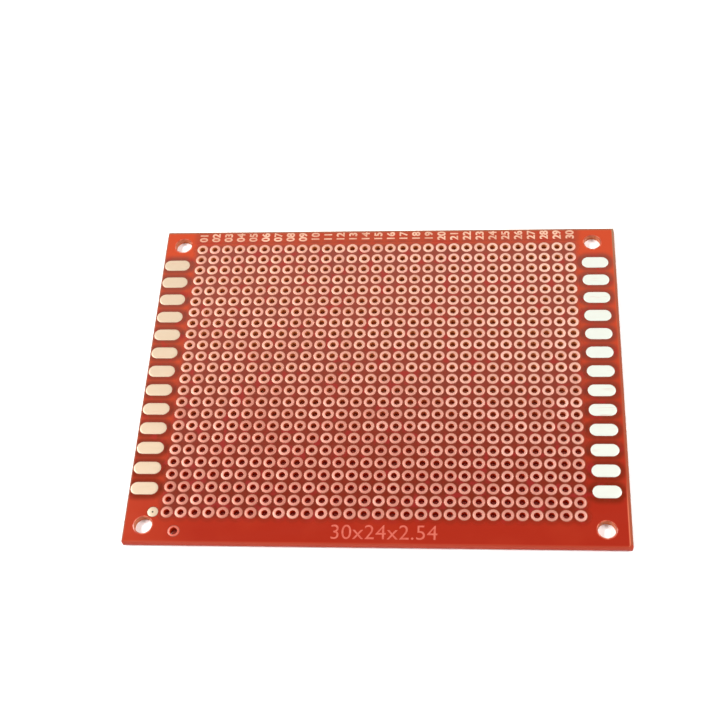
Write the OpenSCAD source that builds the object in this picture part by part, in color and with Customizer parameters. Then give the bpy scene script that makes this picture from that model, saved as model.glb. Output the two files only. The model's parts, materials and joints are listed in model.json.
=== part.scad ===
// Single-sided prototype board: a punched phenolic laminate with a field of lead holes,
// each in its own copper land, a row of long pads along both short edges and a solder mask.
// The board lies on its bare side. X runs along the length, Y toward the numbered back edge.

/* [Board] */
// Length of the board
board_l = 90; // [80:1:110]
// Width of the board
board_w = 69; // [60:1:90]
// Thickness of the laminate
board_t = 1.2; // [0.8:0.1:2]
// Radius of the four corners
corner_r = 0.5; // [0.3:0.1:1.5]
// Depth of the score line that is left as a bevel on each edge, top and bottom
score_depth = 0.3; // [0.1:0.05:0.35]
// Set-back of that bevel from the outline
score_set_back = 0.12; // [0.05:0.01:0.25]
// How far all holes and artwork lie right of the middle of the outline
pattern_shift = -0.4; // [-0.6:0.1:0.6]

/* [Lead holes and lands] */
// Spacing of the lead holes, along and across
pitch = 2.54; // [2.4:0.01:3]
// Diameter of a lead hole
lead_hole_d = 1.15; // [0.8:0.05:1.3]
// Diameter of a land
land_d = 2.1; // [1.7:0.05:2.1]
// Thickness of the copper foil
copper_t = 0.035; // [0.018:0.001:0.07]
// How far the field of lead holes lies right of the mounting holes' middle
field_shift_x = -0.2; // [-0.4:0.1:0.4]
// How far the field lies back of the mounting holes' middle
field_shift_y = 0.8; // [0:0.1:1]
// Least strip left bare along the front and back edges
strip_w = 4.2; // [3.8:0.1:6]

/* [Edge pads] */
// Length of an edge pad
edge_pad_l = 5.1; // [4:0.1:6]
// Width of an edge pad
edge_pad_w = 2.5; // [1.8:0.1:3.4]
// Spacing of the edge pads
edge_pitch = 4.15; // [3.9:0.05:5]
// Margin from the pattern's end to the outer ends of the edge pads
edge_margin = 0.9; // [0.8:0.1:2]
// Least gap between the edge pads and the lands of the field
edge_gap = 1; // [0.6:0.1:3]
// Least gap between the end pads and the mounting holes, along the edge
edge_end_gap = 2; // [1:0.1:4]
// How far the two columns of edge pads lie back of the field's middle
edge_shift_y = 0.4; // [-0.5:0.1:0.8]

/* [Mounting holes] */
// Diameter of a mounting hole
mount_hole_d = 3.2; // [2.5:0.1:3.4]
// Distance of the mounting holes from the short edges
mount_inset_l = 4; // [3:0.1:5]
// Distance of the mounting holes from the long edges
mount_inset_w = 3.5; // [2.8:0.1:4]

/* [Test pad and locating ring] */
// Diameter of the undrilled test pad
test_pad_d = 1.95; // [1.5:0.05:2.2]
// Diameter of the dot etched in its centre
test_dot_d = 0.35; // [0.2:0.05:0.6]
// Diameter of the locating hole
locating_hole_d = 1.4; // [1:0.1:1.8]
// Width of the copper left round the locating hole
locating_ring_w = 0.35; // [0.25:0.05:0.6]
// How far the locating hole lies right of the first column
locating_x = 1.7; // [0:0.1:5]
// How far it lies in front of the front row
locating_y = 3.7; // [3:0.1:4]

/* [Solder mask] */
// Thickness of the coat
mask_t = 0.025; // [0.015:0.001:0.035]
// Bare laminate left round each land and pad
mask_clear = 0.1; // [0.04:0.01:0.14]
// Bare laminate left round each mounting hole
mask_hole_clear = 0.1; // [0.05:0.01:0.2]
// Set-back of the coat from the outline
mask_inset = 0.3; // [0.28:0.01:0.5]
// How far the printed coat lies right of the middle of the outline
mask_shift = -0.2; // [-0.25:0.01:0.25]

/* [Hidden] */
$fn = 48;
eps = 0.01;

columns = floor((board_l - 2 * (edge_margin + edge_pad_l + edge_gap) - land_d) / pitch) + 1;
rows = floor((board_w - 2 * strip_w - land_d) / pitch) + 1;
field_l = (columns - 1) * pitch;
field_w = (rows - 1) * pitch;

edge_column_x = board_l / 2 - edge_margin - edge_pad_l / 2;
edge_count = floor((board_w - 2 * (mount_inset_w + mount_hole_d / 2 + edge_end_gap) - edge_pad_w)
                   / edge_pitch) + 1;

mount_l = board_l - 2 * mount_inset_l;
mount_w = board_w - 2 * mount_inset_w;

locating_place = [locating_x - field_l / 2, -field_w / 2 - locating_y];
test_place = [-field_l / 2 - pitch, -field_w / 2];

function two_digits(n) = n < 10 ? str("0", n) : str(n);
function row_name(i) = str("row_", two_digits(i), "_lands");
function left_name(i) = str("left_edge_pad_", two_digits(i));
function right_name(i) = str("right_edge_pad_", two_digits(i));

// Rows count from the numbered back edge, columns from the left.
function column_x(i) = (i - 1) * pitch - field_l / 2;
function row_y(i) = field_w / 2 - (i - 1) * pitch;
function edge_y(i) = edge_shift_y + ((edge_count + 1) / 2 - i) * edge_pitch;

// Flat outlines, all in the plane of the board

module outline(l, w, r) {
    square([l - 2 * r, w], center = true);
    square([l, w - 2 * r], center = true);
    for (x = [-1, 1], y = [-1, 1])
        translate([x * (l / 2 - r), y * (w / 2 - r)])
            circle(r);
}

module on_pattern() {
    translate([pattern_shift, 0])
        children();
}

module on_field() {
    on_pattern()
        translate([field_shift_x, field_shift_y])
            children();
}

module at_mounting_holes() {
    on_pattern()
        for (x = [-1, 1], y = [-1, 1])
            translate([x * mount_l / 2, y * mount_w / 2])
                children();
}

module along_row(i) {
    on_field()
        for (c = [1:columns])
            translate([column_x(c), row_y(i)])
                children();
}

module at_edge_pad(side, i) {
    on_field()
        translate([side * edge_column_x, edge_y(i)])
            children();
}

// A long pad with round ends, grown by a margin for its mask opening.
module pad_outline(grow = 0) {
    straight = edge_pad_l - edge_pad_w;
    square([straight, edge_pad_w + 2 * grow], center = true);
    for (x = [-1, 1])
        translate([x * straight / 2, 0])
            circle(d = edge_pad_w + 2 * grow);
}

module ring_outline(outer_d, hole_d) {
    difference() {
        circle(d = outer_d);
        circle(d = hole_d);
    }
}

// Copper foil lies on the laminate's top face.
module foil() {
    translate([0, 0, board_t])
        linear_extrude(copper_t)
            children();
}

// The bevel that a score line leaves along one edge, as the prism that it takes away.
module score_prism(length) {
    rotate([90, 0, 0])
        linear_extrude(length, center = true)
            polygon([
                [-score_set_back, 0],
                [eps, -score_depth - eps * score_depth / score_set_back],
                [eps, eps],
                [-score_set_back, eps]
            ]);
}

module score_bevels() {
    for (turn = [0, 180]) {
        rotate([0, 0, turn])
            translate([board_l / 2, 0, 0])
                score_prism(board_w + 2 * eps);
        rotate([0, 0, turn + 90])
            translate([board_w / 2, 0, 0])
                score_prism(board_l + 2 * eps);
    }
}

module laminate() {
    color([0.60, 0.40, 0.24])
        difference() {
            linear_extrude(board_t)
                difference() {
                    outline(board_l, board_w, corner_r);
                    at_mounting_holes()
                        circle(d = mount_hole_d);
                    for (i = [1:rows])
                        along_row(i)
                            circle(d = lead_hole_d);
                    on_field()
                        translate(locating_place)
                            circle(d = locating_hole_d);
                }
            translate([0, 0, board_t])
                score_bevels();
            mirror([0, 0, 1])
                score_bevels();
        }
}

module solder_mask() {
    color([0.78, 0.24, 0.14])
        translate([0, 0, board_t])
            linear_extrude(mask_t)
                difference() {
                    translate([mask_shift, 0])
                        outline(board_l - 2 * mask_inset, board_w - 2 * mask_inset, corner_r);
                    at_mounting_holes()
                        circle(d = mount_hole_d + 2 * mask_hole_clear);
                    for (i = [1:rows])
                        along_row(i)
                            circle(d = land_d + 2 * mask_clear);
                    for (side = [-1, 1], i = [1:edge_count])
                        at_edge_pad(side, i)
                            pad_outline(mask_clear);
                    on_field()
                        translate(test_place)
                            circle(d = test_pad_d + 2 * mask_clear);
                    on_field()
                        translate(locating_place)
                            circle(d = locating_hole_d + 2 * locating_ring_w + 2 * mask_clear);
                }
}

// One row of lands: each is concentric with its lead hole and open to the same diameter.
module row_lands(i) {
    color([0.93, 0.68, 0.58])
        foil()
            along_row(i)
                ring_outline(land_d, lead_hole_d);
}

module edge_pad(side, i) {
    color([0.96, 0.87, 0.78])
        foil()
            at_edge_pad(side, i)
                pad_outline();
}

module test_pad() {
    color([0.95, 0.88, 0.80])
        foil()
            on_field()
                translate(test_place)
                    ring_outline(test_pad_d, test_dot_d);
}

module locating_ring() {
    color([0.92, 0.50, 0.40])
        foil()
            on_field()
                translate(locating_place)
                    ring_outline(locating_hole_d + 2 * locating_ring_w, locating_hole_d);
}

laminate();
solder_mask();
for (i = [1:rows])
    row_lands(i);
for (i = [1:edge_count])
    edge_pad(-1, i);
for (i = [1:edge_count])
    edge_pad(1, i);
test_pad();
locating_ring();
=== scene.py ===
import json
import math

import bpy
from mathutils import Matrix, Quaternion, Vector


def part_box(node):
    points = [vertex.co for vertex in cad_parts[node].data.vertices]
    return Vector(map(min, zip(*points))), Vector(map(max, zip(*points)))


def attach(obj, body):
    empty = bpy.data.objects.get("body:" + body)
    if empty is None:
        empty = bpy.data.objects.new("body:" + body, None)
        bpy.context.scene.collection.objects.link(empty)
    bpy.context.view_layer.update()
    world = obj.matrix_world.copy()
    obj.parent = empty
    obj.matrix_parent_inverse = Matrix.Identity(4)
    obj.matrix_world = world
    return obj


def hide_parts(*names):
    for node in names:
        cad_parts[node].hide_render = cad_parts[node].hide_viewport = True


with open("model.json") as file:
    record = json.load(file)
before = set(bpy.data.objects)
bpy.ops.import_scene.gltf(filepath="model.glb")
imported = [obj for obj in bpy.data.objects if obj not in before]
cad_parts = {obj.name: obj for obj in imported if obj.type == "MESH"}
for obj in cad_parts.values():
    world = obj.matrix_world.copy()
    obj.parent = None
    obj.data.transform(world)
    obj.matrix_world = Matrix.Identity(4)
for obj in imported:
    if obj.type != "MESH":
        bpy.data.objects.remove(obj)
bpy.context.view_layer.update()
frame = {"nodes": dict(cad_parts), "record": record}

# Laminate: one plate of phenolic paper, pressed from plies of brown resin-soaked paper. All its
# holes are punched at one stroke, which leaves a pale halo round each on the bare side. It is
# scored and snapped off its panel, so brown plies show at its edges, stained red at the front.

mm = 0.001
laminate_low, laminate_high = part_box("laminate")
mounts = {mount["name"]: mount for mount in frame["record"]["mounts"]}
row_names = sorted(name for name in frame["nodes"] if name.startswith("row_"))
back_row_low, back_row_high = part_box(row_names[0])
front_row_low, front_row_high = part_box(row_names[-1])
lead_hole_d = 2 * mounts["lead_hole"]["dims"]["r_mm"] * mm
pitch = (back_row_high.y - front_row_high.y) / (len(row_names) - 1)
columns = round((back_row_high.x - back_row_low.x) / pitch)
land_d = back_row_high.x - back_row_low.x - (columns - 1) * pitch
first_land = Vector((front_row_low.x + land_d / 2, (front_row_low.y + front_row_high.y) / 2))
pattern = mounts["mounting_holes"]
pattern_x, pattern_y = pattern["pos_m"][:2]
across_l = pattern["dims"]["spacing_x_mm"] * mm
across_w = pattern["dims"]["spacing_y_mm"] * mm
mount_hole_r = pattern["dims"]["hole_r_mm"] * mm


def seat(node):
    """The middle of a CAD node's underside, and half the node's length."""
    low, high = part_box(node)
    return ((low.x + high.x) / 2, (low.y + high.y) / 2, low.z), (high.x - low.x) / 2


locating_place, locating_ring_r = seat("locating_ring")
locating_hole_r = 0.7 * mm
test_place, test_pad_r = seat("test_pad")
test_dot_r = 0.175 * mm

# Where a Mix node keeps its colour sockets, whose names other kinds of value share.
mix_share, mix_low, mix_high, mix_colour = 0, 6, 7, 2


class Strand:
    """One socket of a node tree. Arithmetic on it adds Math nodes, and node() adds any other."""

    def __init__(self, tree, socket=None):
        self.tree = tree
        self.socket = socket

    def node(self, kind, settings=None, inputs=None, output=0):
        """A new node: its settings are made first, and then its sockets are filled."""
        made = self.tree.nodes.new(kind)
        for name, value in (settings or {}).items():
            if name == "choices":
                while len(made.index_switch_items) < value:
                    made.index_switch_items.new()
            else:
                setattr(made, name, value)
        for place, value in (inputs or {}).items():
            for each in value if isinstance(value, list) else [value]:
                if isinstance(each, Strand):
                    self.tree.links.new(each.socket, made.inputs[place])
                else:
                    made.inputs[place].default_value = each
        return Strand(self.tree, made.outputs[output]) if made.outputs else None

    def side(self, output):
        """Another output of the node that this strand comes from."""
        return Strand(self.tree, self.socket.node.outputs[output])

    def math(self, operation, *values):
        return self.node("ShaderNodeMath", {"operation": operation}, dict(enumerate(values)))

    def __add__(self, other):
        return self.math("ADD", self, other)

    def __radd__(self, other):
        return self.math("ADD", other, self)

    def __sub__(self, other):
        return self.math("SUBTRACT", self, other)

    def __rsub__(self, other):
        return self.math("SUBTRACT", other, self)

    def __mul__(self, other):
        return self.math("MULTIPLY", self, other)

    def __rmul__(self, other):
        return self.math("MULTIPLY", other, self)

    def __truediv__(self, other):
        return self.math("DIVIDE", self, other)

    def __pow__(self, other):
        return self.math("POWER", self, other)

    def __abs__(self):
        return self.math("ABSOLUTE", self)

    def floor(self):
        return self.math("FLOOR", self)

    def least(self, other):
        return self.math("MINIMUM", self, other)

    def most(self, other):
        return self.math("MAXIMUM", self, other)

    def clamp(self, low=0.0, high=1.0):
        return self.most(low).least(high)

    def rise(self, low, high):
        """0 up to low and 1 from high on, with a smooth step between them."""
        return self.node("ShaderNodeMapRange", {"interpolation_type": "SMOOTHSTEP"},
                         {"Value": self, "From Min": low, "From Max": high})

    def fall(self, low, high):
        """1 up to low and 0 from high on, with a smooth step between them."""
        return 1 - self.rise(low, high)

    def tint(self, low, high, blend="MIX"):
        """The colour low where this strand is 0, and high, or its blend, where it is 1."""
        return self.node("ShaderNodeMix", {"data_type": "RGBA", "blend_type": blend},
                         {mix_share: self, mix_low: low, mix_high: high}, mix_colour)

    def noise(self, size, detail=2.0, stretch=(1.0, 1.0, 1.0)):
        """Cloudy noise from 0 to 1 at this place, with blotches about this size in metres."""
        scaled = self.node("ShaderNodeMapping", inputs={"Vector": self, "Scale": stretch})
        return self.node("ShaderNodeTexNoise", inputs={"Vector": scaled, "Scale": 1 / size,
                                                       "Detail": detail})

    def bump(self, depth, under=None):
        """The normal of a relief that is this strand times a depth in metres."""
        inputs = {"Height": self, "Distance": depth}
        if under:
            inputs["Normal"] = under
        return self.node("ShaderNodeBump", inputs=inputs)


def new_material(name, **constants):
    """A Principled material with these values, a strand of its tree, and its shader's sockets."""
    material = bpy.data.materials.new(name)
    material.use_nodes = True
    shader = material.node_tree.nodes["Principled BSDF"]
    for socket, value in constants.items():
        shader.inputs[socket.replace("_", " ")].default_value = value
    return material, Strand(material.node_tree), shader.inputs


def feed(socket, strand):
    strand.tree.links.new(strand.socket, socket)


def board_place(strand):
    """The point on the board as a vector, and its three coordinates, in metres."""
    place = strand.node("ShaderNodeTexCoord", output="Object")
    x = place.node("ShaderNodeSeparateXYZ", inputs={"Vector": place})
    return place, x, x.side("Y"), x.side("Z")


def nearest_land(x, y):
    """The column and row of the nearest lead hole, and how far off its centre is, in metres."""
    along = (x - first_land.x) / pitch
    across = (y - first_land.y) / pitch
    column = (along + 0.5).floor().clamp(0, columns - 1)
    row = (across + 0.5).floor().clamp(0, len(row_names) - 1)
    return column, row, ((along - column) ** 2 + (across - row) ** 2) ** 0.5 * pitch


def inside(x, y, low, high):
    """How far inside a rectangle a point lies, in metres."""
    middle = (low + high) / 2
    beside = high.x - middle.x - abs(x - middle.x)
    return beside.least(high.y - middle.y - abs(y - middle.y))


def dress(node, material):
    """Gives a carried-over CAD node its material."""
    piece = frame["nodes"][node]
    piece.data.materials.clear()
    piece.data.materials.append(material)


paper_dark = (0.150, 0.068, 0.028, 1)
paper_light = (0.235, 0.118, 0.052, 1)
groove_brown_and_shade = (0.170, 0.040, 0.022, 1)
groove_pale = (0.290, 0.100, 0.062, 1)
dot_black = (0.020, 0.026, 0.012, 1)
hole_front = (0.400, 0.026, 0.001, 1)
hole_back = (0.480, 0.165, 0.055, 1)
mount_brown = (0.420, 0.115, 0.045, 1)
rim_front = (0.240, 0.048, 0.020, 1)
rim_back = (0.210, 0.115, 0.065, 1)
rim_red = (0.260, 0.029, 0.010, 1)
cut_brown = (0.240, 0.068, 0.032, 1)
cut_red = (0.320, 0.021, 0.006, 1)
halo_tan = (0.320, 0.180, 0.095, 1)
ply_t = 0.16 * mm
fibre_depth = 0.012 * mm
skin = 0.005 * mm
wall_reach = 0.02 * mm
bevel_w = 0.13 * mm
bevel_fade = 0.03 * mm
rim_w = 0.55 * mm
rim_fade = 0.05 * mm
gap_reach = land_d / 2 + 0.15 * mm
gap_fade = 0.10 * mm
halo_inner = 0.70 * mm
halo_outer = 1.0 * mm
halo_strength = 0.45
hole_front_y = -26 * mm
hole_back_y = 12 * mm
rim_pales_y = 20 * mm

phenolic_paper, strand, shader = new_material("phenolic_paper", Specular_IOR_Level=0.25)
place, x, y, z = board_place(strand)
off_hole = nearest_land(x, y)[2]
blotches = place.noise(6 * mm, 4)
fibres = place.noise(0.35 * mm, 3, stretch=(0.22, 1.0, 1.0))
plies = place.noise(ply_t, 2, stretch=(0.05, 0.05, 1.0))
on_top = z.rise(laminate_high.z - 2 * skin, laminate_high.z - skin)
bare_side = z.fall(skin, 2 * skin)
from_edge = inside(x, y, laminate_low, laminate_high)
at_edge = from_edge.fall(bevel_w, bevel_w + bevel_fade)
rim = from_edge.fall(rim_w, rim_w + rim_fade)
off_locating = ((x - locating_place[0]) ** 2 + (y - locating_place[1]) ** 2) ** 0.5
off_mount = ((abs(x - pattern_x) - across_l / 2) ** 2
             + (abs(y - pattern_y) - across_w / 2) ** 2) ** 0.5
beyond_small = (off_hole - lead_hole_d / 2).least(off_locating - locating_hole_r)
in_small = beyond_small.fall(0, wall_reach) * (1 - bare_side)
in_large = off_mount.fall(mount_hole_r, mount_hole_r + wall_reach) * (1 - bare_side)
halo = off_hole.fall(halo_inner, halo_outer) * bare_side * halo_strength
by_land = off_hole.fall(gap_reach, gap_reach + gap_fade)
off_dot = ((x - test_place[0]) ** 2 + (y - test_place[1]) ** 2) ** 0.5
in_dot = off_dot.fall(1.2 * test_dot_r, 1.6 * test_dot_r)
at_front = y.fall(laminate_low.y + rim_w, laminate_low.y + 2 * rim_w)

paper = (blotches * 0.55 + fibres * 0.45).rise(0.3, 0.7).tint(paper_dark, paper_light)
paper = halo.tint(paper, halo_tan)
stained_rim = y.rise(rim_pales_y, laminate_high.y).tint(rim_front, rim_back)
stained_rim = at_front.tint(stained_rim, rim_red)
# The bare laminate in the gap round each land is darker: partly its own brown, partly painted
# shade.
groove = in_dot.tint(by_land.tint(groove_brown_and_shade, groove_pale), dot_black)
paper = on_top.tint(paper, rim.tint(groove, stained_rim))
paper = in_small.tint(paper, y.rise(hole_front_y, hole_back_y).tint(hole_front, hole_back))
paper = in_large.tint(paper, mount_brown)
paper = (at_edge * (0.8 + 0.2 * plies)).tint(paper, at_front.tint(cut_brown, cut_red))
feed(shader["Base Color"], paper)
feed(shader["Roughness"], 0.42 + 0.25 * at_edge + 0.12 * fibres)
feed(shader["Normal"], (fibres * (1 - at_edge) + 2.5 * plies * at_edge).bump(fibre_depth))
dress("laminate", phenolic_paper)

# Solder mask: one coat of glossy red lacquer, screened over the copper side and baked. It is open
# round every land, pad and mounting hole. It is darker between the lands, round the pads and
# behind the back row, partly pooled lacquer and partly painted shade, and paler toward the back
# and the left, which is painted light. It stops short of the outline, in a thin brown margin at
# the left and back; a painted highlight runs along its edge, strongest near the front right
# corner.

mask_low, mask_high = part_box("solder_mask")
first_pad_low, first_pad_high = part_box("left_edge_pad_01")
far_pad_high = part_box("right_edge_pad_01")[1]
pad_rows = sum(name.startswith("left_edge_pad_") for name in frame["nodes"])
pad_pitch = first_pad_low.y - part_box("left_edge_pad_02")[0].y
pad_l = first_pad_high.x - first_pad_low.x
pad_w = first_pad_high.y - first_pad_low.y
pad_y = (first_pad_low.y + first_pad_high.y) / 2
pad_middle = (first_pad_low.x + far_pad_high.x) / 2
pad_reach = (far_pad_high.x - first_pad_low.x - pad_l) / 2
field_middle = (back_row_low.x + back_row_high.x) / 2
field_reach = (back_row_high.x - back_row_low.x) / 2


def beyond_pad(x, y):
    """How far a point lies outside the nearest edge pad, in metres."""
    across = (pad_y - y) / pad_pitch
    beside = (across - (across + 0.5).floor().clamp(0, pad_rows - 1)) * pad_pitch
    along = (abs(abs(x - pad_middle) - pad_reach) - (pad_l - pad_w) / 2).most(0)
    return (along ** 2 + beside ** 2) ** 0.5 - pad_w / 2


mask_orange = (0.360, 0.044, 0.016, 1)
mask_red = (0.240, 0.0145, 0.0055, 1)
pooled_shade_front = (0.100, 0.009, 0.0015, 1)
pooled_shade_back = (0.138, 0.034, 0.023, 1)
patch_red = (0.230, 0.010, 0.013, 1)
mask_edge_glint = (0.560, 0.150, 0.080, 1)
mask_thin = (0.215, 0.080, 0.048, 1)
fringe_out, fringe_in = -0.5 * mm, 0.8 * mm
land_pool_shade_w, land_pool_shade_end = 1.5 * mm, 2.3 * mm
pad_pool_shade_w, pad_pool_shade_end = 0.3 * mm, 1.6 * mm
number_pool_shade_start, number_pool_shade_full = 0.1 * mm, 0.6 * mm
number_pool_shade_fade = 1.5 * mm
edge_band_w = 0.30 * mm
edge_glint_fade = 0.05 * mm
edge_glint_ends_y = mask_low.y + 6 * mm
edge_glint_end_fade = 8 * mm
margin_w = 0.12 * mm
pale_reach = 20 * mm
streak_depth = 0.010 * mm
peel_depth = 0.004 * mm

lacquer, strand, shader = new_material("red_lacquer", Specular_IOR_Level=0.35)
place, x, y = board_place(strand)[:3]
off_hole = nearest_land(x, y)[2]
clouds = place.noise(9 * mm, 3)
peel = place.noise(0.9 * mm, 1)
streaks = place.noise(2.2 * mm, 3, stretch=(0.18, 1.0, 1.0))
specks = place.noise(0.5 * mm, 3)
patches = place.noise(2.0 * mm, 2)
fringe = inside(x, y, front_row_low, back_row_high).rise(fringe_out, fringe_in)
# Partly pooled lacquer, partly painted shade: darker between the lands, round the edge pads and
# behind the back row.
in_field = off_hole.fall(land_pool_shade_w, land_pool_shade_end) * (0.35 + 0.65 * fringe)
by_pad = beyond_pad(x, y).fall(pad_pool_shade_w, pad_pool_shade_end)
by_number = (y - back_row_high.y).rise(number_pool_shade_start, number_pool_shade_full)
by_number = by_number * (abs(x - field_middle) - field_reach).fall(0, number_pool_shade_fade)
pooling_and_shade = (in_field * (0.7 + 0.3 * clouds) + 0.8 * by_pad + 0.4 * by_number).clamp()
# Painted light: the coat is paler toward the back and the left, and its pooled shade paler toward
# the back.
to_back = y.rise(mask_low.y, mask_high.y)
painted_back_left_light = 1.08 * to_back + 0.4 * x.fall(mask_low.x, mask_low.x + pale_reach)
# Painted highlight: a pale band along the mask's edge, strongest at the right near the front.
edge_glint = inside(x, y, mask_low, mask_high).fall(edge_glint_fade, edge_band_w)
right_edge_glint = edge_glint * x.rise(mask_high.x - edge_band_w - edge_glint_fade, mask_high.x - edge_band_w)
right_edge_glint = right_edge_glint * y.fall(edge_glint_ends_y, edge_glint_ends_y + edge_glint_end_fade)
thin = (x - mask_low.x).least(mask_high.y - y).fall(margin_w, edge_band_w)

coat = (painted_back_left_light + 0.5 * (clouds - 0.5)).clamp().tint(mask_red, mask_orange)
deep = (to_back + 0.5 * (specks - 0.5)).clamp().tint(pooled_shade_front, pooled_shade_back)
deep = (0.55 * patches.rise(0.53, 0.68)).tint(deep, patch_red)
coat = pooling_and_shade.tint(coat, deep)
coat = (right_edge_glint * 0.7 + edge_glint * 0.12).clamp().tint(coat, mask_edge_glint)
coat = (0.75 * thin).tint(coat, mask_thin)
feed(shader["Base Color"], coat)
feed(shader["Roughness"], 0.18 + 0.12 * streaks + 0.1 * in_field)
feed(shader["Normal"], streaks.bump(streak_depth, peel.bump(peel_depth)))
dress("solder_mask", lacquer)

# Lead hole lands: a ring of bare copper foil round each lead hole, etched in rows of one pitch.
# The punch leaves each ring highest at its inner rim, and the etch slopes it down from there. A
# thin clear flux keeps them bright, and no two have quite the same tint. Their colour pales toward
# the back and whitens toward the right, which is painted reflection.

ring_sides = 24
# The corners of a ring's section, as shares of its width from the hole and of the foil's height.
ring_corners = [(0.0, 0.0), (0.0, 0.97), (0.04, 1.0), (0.92, 0.60), (1.0, 0.0)]


def new_tree(name, **inputs):
    """A Geometry Nodes tree with these named inputs, and a strand for each."""
    tree = bpy.data.node_groups.new(name, "GeometryNodeTree")
    for title, kind in inputs.items():
        tree.interface.new_socket(title, in_out="INPUT", socket_type="NodeSocket" + kind)
    tree.interface.new_socket("Mesh", in_out="OUTPUT", socket_type="NodeSocketGeometry")
    entry = tree.nodes.new("NodeGroupInput")
    return tree, {title: Strand(tree, entry.outputs[title]) for title in inputs}


def close_tree(mesh, material):
    """Ends a tree in one real mesh of this material."""
    real = mesh.node("GeometryNodeRealizeInstances", inputs={"Geometry": mesh})
    painted = real.node("GeometryNodeSetMaterial", inputs={"Geometry": real,
                                                           "Material": material})
    painted.node("NodeGroupOutput", inputs={"Mesh": painted})


def grow(name, tree, slot, stands_for=(), **sizes):
    """Makes the plain mesh that a tree gives for these sizes, in place of these CAD nodes."""
    piece = bpy.data.objects.new(name, bpy.data.meshes.new(name))
    bpy.context.scene.collection.objects.link(piece)
    shape = piece.modifiers.new("shape", "NODES")
    shape.node_group = tree
    for item in tree.interface.items_tree:
        if item.in_out == "INPUT":
            shape[item.identifier] = sizes[item.name]
    shaped = piece.evaluated_get(bpy.context.evaluated_depsgraph_get())
    mesh = bpy.data.meshes.new_from_object(shaped)
    piece.modifiers.clear()
    piece.data = mesh
    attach(piece, "root")
    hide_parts(*stands_for)


ring_row, given = new_tree("ring_row", first="Vector", step="Vector", count="Int",
                           hole_r="Float", outer_r="Float", height="Float", finish="Material")
ring_w = given["outer_r"] - given["hole_r"]
# A swept profile's Y axis points down.
around = {0: ring_w.node("GeometryNodeInputIndex")}
for number, (out, up) in enumerate(ring_corners, start=1):
    around[number] = ring_w.node("ShaderNodeCombineXYZ", inputs={
        "X": ring_w * out, "Y": given["height"] * -up})
corner = ring_w.node("GeometryNodeIndexSwitch",
                     {"data_type": "VECTOR", "choices": len(ring_corners)}, around)
profile = ring_w.node("GeometryNodeMeshLine", inputs={"Count": len(ring_corners)})
profile = ring_w.node("GeometryNodeMeshToCurve", inputs={"Mesh": profile})
profile = ring_w.node("GeometryNodeSetSplineCyclic", inputs={"Geometry": profile, "Cyclic": True})
profile = ring_w.node("GeometryNodeSetPosition", inputs={"Geometry": profile,
                                                         "Position": corner})
rim = ring_w.node("GeometryNodeCurvePrimitiveCircle", {"mode": "RADIUS"},
                  {"Resolution": ring_sides, "Radius": given["hole_r"]})
rim = ring_w.node("GeometryNodeSetCurveNormal", {"mode": "Z_UP"}, {"Curve": rim})
ring = ring_w.node("GeometryNodeCurveToMesh", inputs={"Curve": rim, "Profile Curve": profile})
ring = ring_w.node("GeometryNodeSetShadeSmooth", inputs={"Geometry": ring})
centres = ring_w.node("GeometryNodeMeshLine", inputs={
    "Count": given["count"], "Start Location": given["first"], "Offset": given["step"]})
rings = ring_w.node("GeometryNodeInstanceOnPoints", inputs={"Points": centres, "Instance": ring})
close_tree(rings, given["finish"])

salmon = (0.481, 0.168, 0.121, 1)
cream = (0.707, 0.380, 0.280, 1)
rose = (0.690, 0.320, 0.250, 1)
tarnish = (0.300, 0.100, 0.060, 1)
right_painted_reflection = (1.040, 1.210, 1.270, 1)
reflection_from_x = back_row_low.x + 0.2 * (back_row_high.x - back_row_low.x)
brush_depth = 0.003 * mm

bare_copper, strand, shader = new_material("bare_copper", Metallic=0.45)
place, x, y = board_place(strand)[:3]
column, row = nearest_land(x, y)[:2]
cell = strand.node("ShaderNodeCombineXYZ", inputs={"X": column, "Y": row})
chance = strand.node("ShaderNodeTexWhiteNoise", {"noise_dimensions": "3D"}, {"Vector": cell})
rosy = strand.node("ShaderNodeSeparateColor", inputs={"Color": chance.side("Color")},
                   output="Green").rise(0.6, 1.0)
spots = place.noise(0.45 * mm, 3)
brushed = place.noise(0.12 * mm, 2, stretch=(0.15, 1.0, 1.0))
# Painted reflection: the copper pales toward the back and is tinted whiter toward the right.
toward_back = y.rise(front_row_low.y, back_row_high.y)
copper = (0.75 * toward_back + 0.35 * (chance - 0.5)).clamp().tint(salmon, cream)
copper = (0.5 * rosy).tint(copper, rose)
copper = (0.5 * spots.rise(0.62, 0.8)).tint(copper, tarnish)
copper = x.rise(reflection_from_x, back_row_high.x).tint(copper, right_painted_reflection, "MULTIPLY")
feed(shader["Base Color"], copper)
feed(shader["Roughness"], 0.38 + 0.15 * spots + 0.08 * brushed)
feed(shader["Normal"], brushed.bump(brush_depth))

foil_t = back_row_high.z - laminate_high.z
for name in row_names:
    row_low, row_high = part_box(name)
    first = (row_low.x + land_d / 2, (row_low.y + row_high.y) / 2, laminate_high.z)
    grow("copper_" + name, ring_row, "land_copper", [name], first=first, step=(pitch, 0, 0),
         count=columns, hole_r=lead_hole_d / 2, outer_r=land_d / 2, height=foil_t,
         finish=bare_copper)

# Edge pads: thirteen long pads of bright bare copper foil with round ends along each short edge,
# for soldering connectors or bridging. The etch leaves them slightly crowned. Their colour goes
# from cream to near white toward the right, which is painted reflection.

pad_sides = 48
pad_rings = 4
pad_shoulder = 0.06 * mm
pad_side_share = 0.6
split_reach = 0.01 * mm

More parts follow.
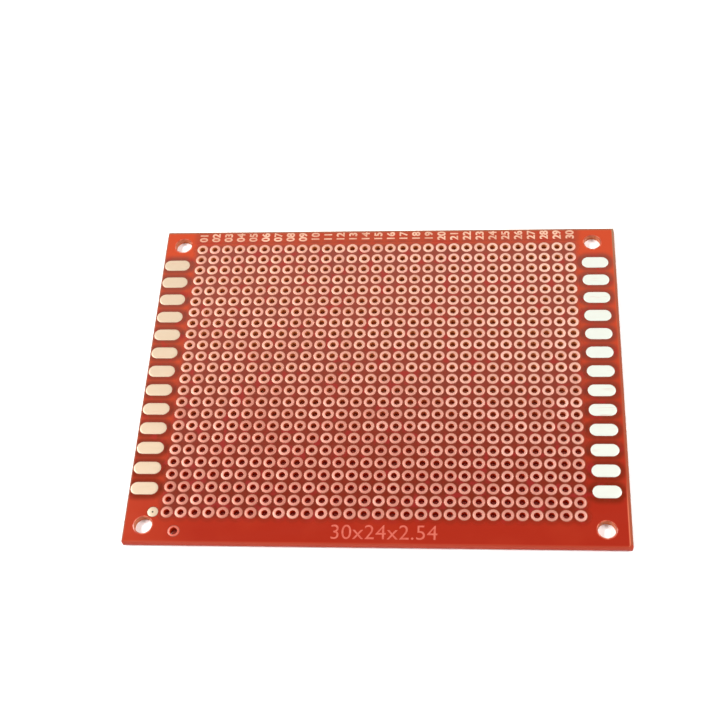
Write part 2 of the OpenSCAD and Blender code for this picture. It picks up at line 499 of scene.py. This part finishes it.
long_pad, given = new_tree("long_pad", place="Vector", length="Float", width="Float",
                           height="Float", finish="Material")
end_r = given["width"] / 2
side_h = given["height"] * pad_side_share
disc = end_r.node("GeometryNodeMeshCone", {"fill_type": "TRIANGLE_FAN"}, {
    "Vertices": pad_sides, "Fill Segments": pad_rings, "Radius Top": end_r - pad_shoulder,
    "Radius Bottom": end_r, "Depth": side_h})
point = end_r.node("GeometryNodeInputPosition")
point_x = end_r.node("ShaderNodeSeparateXYZ", inputs={"Vector": point})
point_y, point_z = point_x.side("Y"), point_x.side("Z")
crown = 1 - (point_x ** 2 + point_y ** 2) / end_r ** 2
lift = (given["height"] - side_h) * crown * point_z / side_h
stretch = (point_x / split_reach).clamp(-1, 1) * (given["length"] - given["width"]) / 2
shift = end_r.node("ShaderNodeCombineXYZ", inputs={"X": stretch, "Z": lift})
pad = end_r.node("GeometryNodeSetPosition", inputs={"Geometry": disc, "Offset": shift})
pad = end_r.node("GeometryNodeTransform", inputs={"Geometry": pad, "Translation": given["place"]})
pad = end_r.node("GeometryNodeSetShadeSmooth", inputs={"Geometry": pad})
close_tree(pad, given["finish"])

pad_cream = (0.562, 0.430, 0.300, 1)
pad_painted_white = (0.650, 0.672, 0.600, 1)
pad_cream_x = -10 * mm
pad_painted_white_x = 30 * mm

pale_painted_copper, strand, shader = new_material("pale_painted_copper", Metallic=0.35)
place, x = board_place(strand)[:2]
rubbed = place.noise(0.5 * mm, 3, stretch=(0.12, 1.0, 1.0))
clouds = place.noise(1.6 * mm, 3)
# Painted reflection: the pads turn from cream to near white toward the right.
toward_right = x.rise(pad_cream_x, pad_painted_white_x)
metal = (toward_right + 0.25 * (clouds - 0.5)).clamp().tint(pad_cream, pad_painted_white)
metal = (0.3 * rubbed.rise(0.58, 0.8)).tint(metal, salmon)
feed(shader["Base Color"], metal)
feed(shader["Roughness"], 0.32 + 0.16 * rubbed)
feed(shader["Normal"], rubbed.bump(brush_depth))

for side in ("left", "right"):
    for number in range(1, pad_rows + 1):
        name = f"{side}_edge_pad_{number:02d}"
        grow("copper_" + name, long_pad, "pad_copper", [name], place=seat(name)[0], length=pad_l,
             width=pad_w, height=foil_t, finish=pale_painted_copper)

# Test pad: an undrilled disc of copper foil in line with the front row, with a dot etched in its
# centre, where a probe finds it. It has the edge pads' material, painted paler toward the right.

grow("copper_test_pad", ring_row, "pad_copper", ["test_pad"], first=test_place, step=(0, 0, 0),
     count=1, hole_r=test_dot_r, outer_r=test_pad_r, height=foil_t, finish=pale_painted_copper)

# Locating ring: the narrow ring of copper that is left round the locating hole in the front
# strip. The drill that makes the hole takes away the rest of its target. Lacquer stains it red.

stained = (0.470, 0.075, 0.046, 1)
faded = (0.530, 0.115, 0.076, 1)

stained_copper, strand, shader = new_material("stained_copper", Metallic=0.3, Roughness=0.45)
stains = board_place(strand)[0].noise(0.5 * mm, 3)
feed(shader["Base Color"], stains.rise(0.3, 0.7).tint(stained, faded))

grow("copper_locating_ring", ring_row, "land_copper", ["locating_ring"], first=locating_place,
     step=(0, 0, 0), count=1, hole_r=locating_hole_r, outer_r=locating_ring_r, height=foil_t,
     finish=stained_copper)

# Lips of the mounting holes: the punch pushes up a thin rim of lacquer round each of the four
# holes, which catches the light. Pale patches in its colour are painted glints.

lip_gap = 0.06 * mm
lip_w = 0.26 * mm
lip_dark = (0.290, 0.030, 0.012, 1)
lip_glint_pale = (0.520, 0.130, 0.070, 1)

pushed_lacquer, strand, shader = new_material("pushed_lacquer", Roughness=0.3)
# Painted highlight: the lip is paler than the mask, in patches.
painted_glints = board_place(strand)[0].noise(0.8 * mm, 3)
feed(shader["Base Color"], painted_glints.rise(0.35, 0.65).tint(lip_dark, lip_glint_pale))

lip_r = mount_hole_r + lip_gap
for side, name in ((-1, "front_hole_lips"), (1, "back_hole_lips")):
    first = (pattern_x - across_l / 2, pattern_y + side * across_w / 2, laminate_high.z)
    grow(name, ring_row, "solder_mask", first=first, step=(across_l, 0, 0), count=2,
         hole_r=lip_r, outer_r=lip_r + lip_w, height=foil_t, finish=pushed_lacquer)

# Column numbers: 01 to 30 along the back edge, etched in the foil, each over its own column. They
# are turned a quarter, to be read from the right edge, with the tens nearer the front.

# A figure's step and height in the built-in font at size 1.
glyph_advance = 0.50
glyph_height = 0.69
figure_l = 1.50 * mm
figure_w = 1.05 * mm
figure_weight = 0.075 * mm
number_start = 2.6 * mm
quarter_turn = math.pi / 2
weld_reach = 0.0001 * mm


def raise_up(flat, height, weight):
    """Turns flat figures into closed raised ones, each stroke fatter by this much a side."""
    real = flat.node("GeometryNodeRealizeInstances", inputs={"Geometry": flat})
    risen = real.node("GeometryNodeExtrudeMesh", inputs={"Mesh": real, "Offset Scale": height,
                                                         "Individual": False})
    base = real.node("GeometryNodeFlipFaces", inputs={"Mesh": real})
    both = base.node("GeometryNodeJoinGeometry", inputs={"Geometry": [base, risen]})
    body = both.node("GeometryNodeMergeByDistance", inputs={"Geometry": both,
                                                            "Distance": weld_reach})
    outward = body.node("ShaderNodeVectorMath", {"operation": "MULTIPLY"}, {
        0: body.node("GeometryNodeInputNormal"), 1: (1, 1, 0)})
    outward = body.node("ShaderNodeVectorMath", {"operation": "NORMALIZE"}, {0: outward})
    outward = body.node("ShaderNodeVectorMath", {"operation": "SCALE"}, {0: outward,
                                                                         "Scale": weight})
    return body.node("GeometryNodeSetPosition", inputs={"Geometry": body, "Offset": outward})


numbers, given = new_tree("column_numbers", first="Vector", step="Vector", count="Int",
                          figure_l="Float", figure_w="Float", height="Float", weight="Float",
                          finish="Material")
start = given["first"]
# Without spacing, each figure starts at the origin, ready to be picked as an instance.
glyphs = start.node("GeometryNodeStringToCurves", inputs={
    "String": "0123456789", "Size": 1.0, "Character Spacing": 0.0})
glyphs = start.node("GeometryNodeFillCurve", inputs={"Curve": glyphs})
over_columns = start.node("GeometryNodeMeshLine", inputs={
    "Count": given["count"], "Start Location": start, "Offset": given["step"]})
number = start.node("GeometryNodeInputIndex") + 1
tens = (number / 10).floor()
size = start.node("ShaderNodeCombineXYZ", inputs={
    "X": given["figure_w"] / glyph_advance, "Y": given["figure_l"] / glyph_height, "Z": 1.0})
figures = []
for place_in_number, digit in enumerate((tens, number - 10 * tens)):
    shift = start.node("ShaderNodeCombineXYZ", inputs={
        "X": given["figure_l"] / 2, "Y": given["figure_w"] * place_in_number})
    moved = start.node("GeometryNodeSetPosition", inputs={"Geometry": over_columns,
                                                          "Offset": shift})
    figures.append(start.node("GeometryNodeInstanceOnPoints", inputs={
        "Points": moved, "Instance": glyphs, "Pick Instance": True, "Instance Index": digit,
        "Rotation": (0, 0, quarter_turn), "Scale": size}))
flat = start.node("GeometryNodeJoinGeometry", inputs={"Geometry": figures})
close_tree(raise_up(flat, given["height"], given["weight"]), given["finish"])

figure_dull = (0.530, 0.260, 0.170, 1)
figure_bright = (0.650, 0.390, 0.270, 1)

figure_copper, strand, shader = new_material("figure_copper", Metallic=0.3, Roughness=0.5)
dull_spots = board_place(strand)[0].noise(3 * mm, 4)
feed(shader["Base Color"], dull_spots.rise(0.35, 0.65).tint(figure_dull, figure_bright))

number_place = (first_land.x, laminate_high.y - number_start, laminate_high.z)
grow("column_numbers", numbers, "land_copper", first=number_place, step=(pitch, 0, 0),
     count=columns, figure_l=figure_l, figure_w=figure_w, height=foil_t, weight=figure_weight,
     finish=figure_copper)

# Strip figures: the columns, rows and pitch of the field, etched in the foil of the front strip
# in larger figures. Lacquer stains them red, as it does the locating ring.

strip_text = "30x24x2.54"
strip_height = 2.75 * mm
strip_from_left = 37.2 * mm
strip_from_front = 1.2 * mm
strip_weight = -0.02 * mm
strip_spacing = 1.02

line, given = new_tree("strip_figures", text="String", place="Vector", size="Float",
                       height="Float", weight="Float", finish="Material")
glyphs = given["place"].node("GeometryNodeStringToCurves", inputs={
    "String": given["text"], "Size": given["size"], "Character Spacing": strip_spacing})
flat = glyphs.node("GeometryNodeFillCurve", inputs={"Curve": glyphs})
flat = flat.node("GeometryNodeTransform", inputs={"Geometry": flat,
                                                  "Translation": given["place"]})
close_tree(raise_up(flat, given["height"], given["weight"]), given["finish"])

strip_place = (laminate_low.x + strip_from_left, laminate_low.y + strip_from_front,
               laminate_high.z)
grow("strip_figures", line, "land_copper", text=strip_text, place=strip_place,
     size=strip_height / glyph_height, height=foil_t, weight=strip_weight,
     finish=stained_copper)

# Floor, light and camera: a pale seamless table between two long softboxes, with a weak one in
# front. The room is white low down and dark overhead, where the lacquer would mirror it.

floor_reach = 0.45
room_white = (1, 1, 1, 1)
room_dark = (0.012, 0.012, 0.012, 1)
white_up_to = 0.40
dark_from = 0.75

backdrop, strand, shader = new_material("pale_floor", Base_Color=(0.97, 0.97, 0.97, 1),
                                        Roughness=0.9, Specular_IOR_Level=0.1)
floor_mesh = bpy.data.meshes.new("floor")
floor_mesh.from_pydata([(-floor_reach, -floor_reach, 0), (floor_reach, -floor_reach, 0),
                        (floor_reach, floor_reach, 0), (-floor_reach, floor_reach, 0)],
                       [], [(0, 1, 2, 3)])
floor = bpy.data.objects.new("floor", floor_mesh)
floor.data.materials.append(backdrop)
bpy.context.scene.collection.objects.link(floor)


def softbox(name, azimuth, elevation, distance, width, height, radiance):
    """A light of this radiance that faces the board. Azimuth 0 is the front, and 90 the right."""
    lamp = bpy.data.lights.new(name, "AREA")
    lamp.shape = "RECTANGLE"
    lamp.size = width
    lamp.size_y = height
    lamp.energy = radiance * math.pi * width * height
    turn, rise = math.radians(azimuth), math.radians(elevation)
    away = Vector((math.sin(turn) * math.cos(rise), -math.cos(turn) * math.cos(rise),
                   math.sin(rise)))
    light = bpy.data.objects.new(name, lamp)
    light.location = away * distance
    light.rotation_mode = "QUATERNION"
    light.rotation_quaternion = away.to_track_quat("Z", "Y")
    bpy.context.scene.collection.objects.link(light)


softbox("left_softbox", azimuth=-95, elevation=43, distance=0.75, width=0.50, height=0.20,
        radiance=27.0)
softbox("right_softbox", azimuth=100, elevation=43, distance=0.75, width=0.50, height=0.20,
        radiance=17.5)
softbox("front_softbox", azimuth=0, elevation=28, distance=0.85, width=0.40, height=0.40,
        radiance=3.5)

world = bpy.data.worlds.new("studio")
world.use_nodes = True
sky = world.node_tree.nodes["Background"].inputs
direction = Strand(world.node_tree).node("ShaderNodeTexCoord", output="Generated")
upward = direction.node("ShaderNodeSeparateXYZ", inputs={"Vector": direction}, output="Z")
feed(sky["Color"], upward.rise(white_up_to, dark_from).tint(room_white, room_dark))
bpy.context.scene.world = world

camera_place = Vector((0.01998, -0.12946, 0.21535))
camera_aim = Vector((-0.00350, 0.00288, 0.00124))
camera_roll = math.radians(-8.6)
camera_lens = 66.05
camera_nearest = 0.01

camera_data = bpy.data.cameras.new("camera")
camera_data.lens = camera_lens
camera_data.clip_start = camera_nearest
camera = bpy.data.objects.new("camera", camera_data)
camera.location = camera_place
camera.rotation_mode = "QUATERNION"
level = (camera_aim - camera_place).to_track_quat("-Z", "Y")
camera.rotation_quaternion = level @ Quaternion((0, 0, 1), camera_roll)
bpy.context.scene.collection.objects.link(camera)
bpy.context.scene.camera = camera
bpy.context.scene.view_settings.view_transform = "Standard"
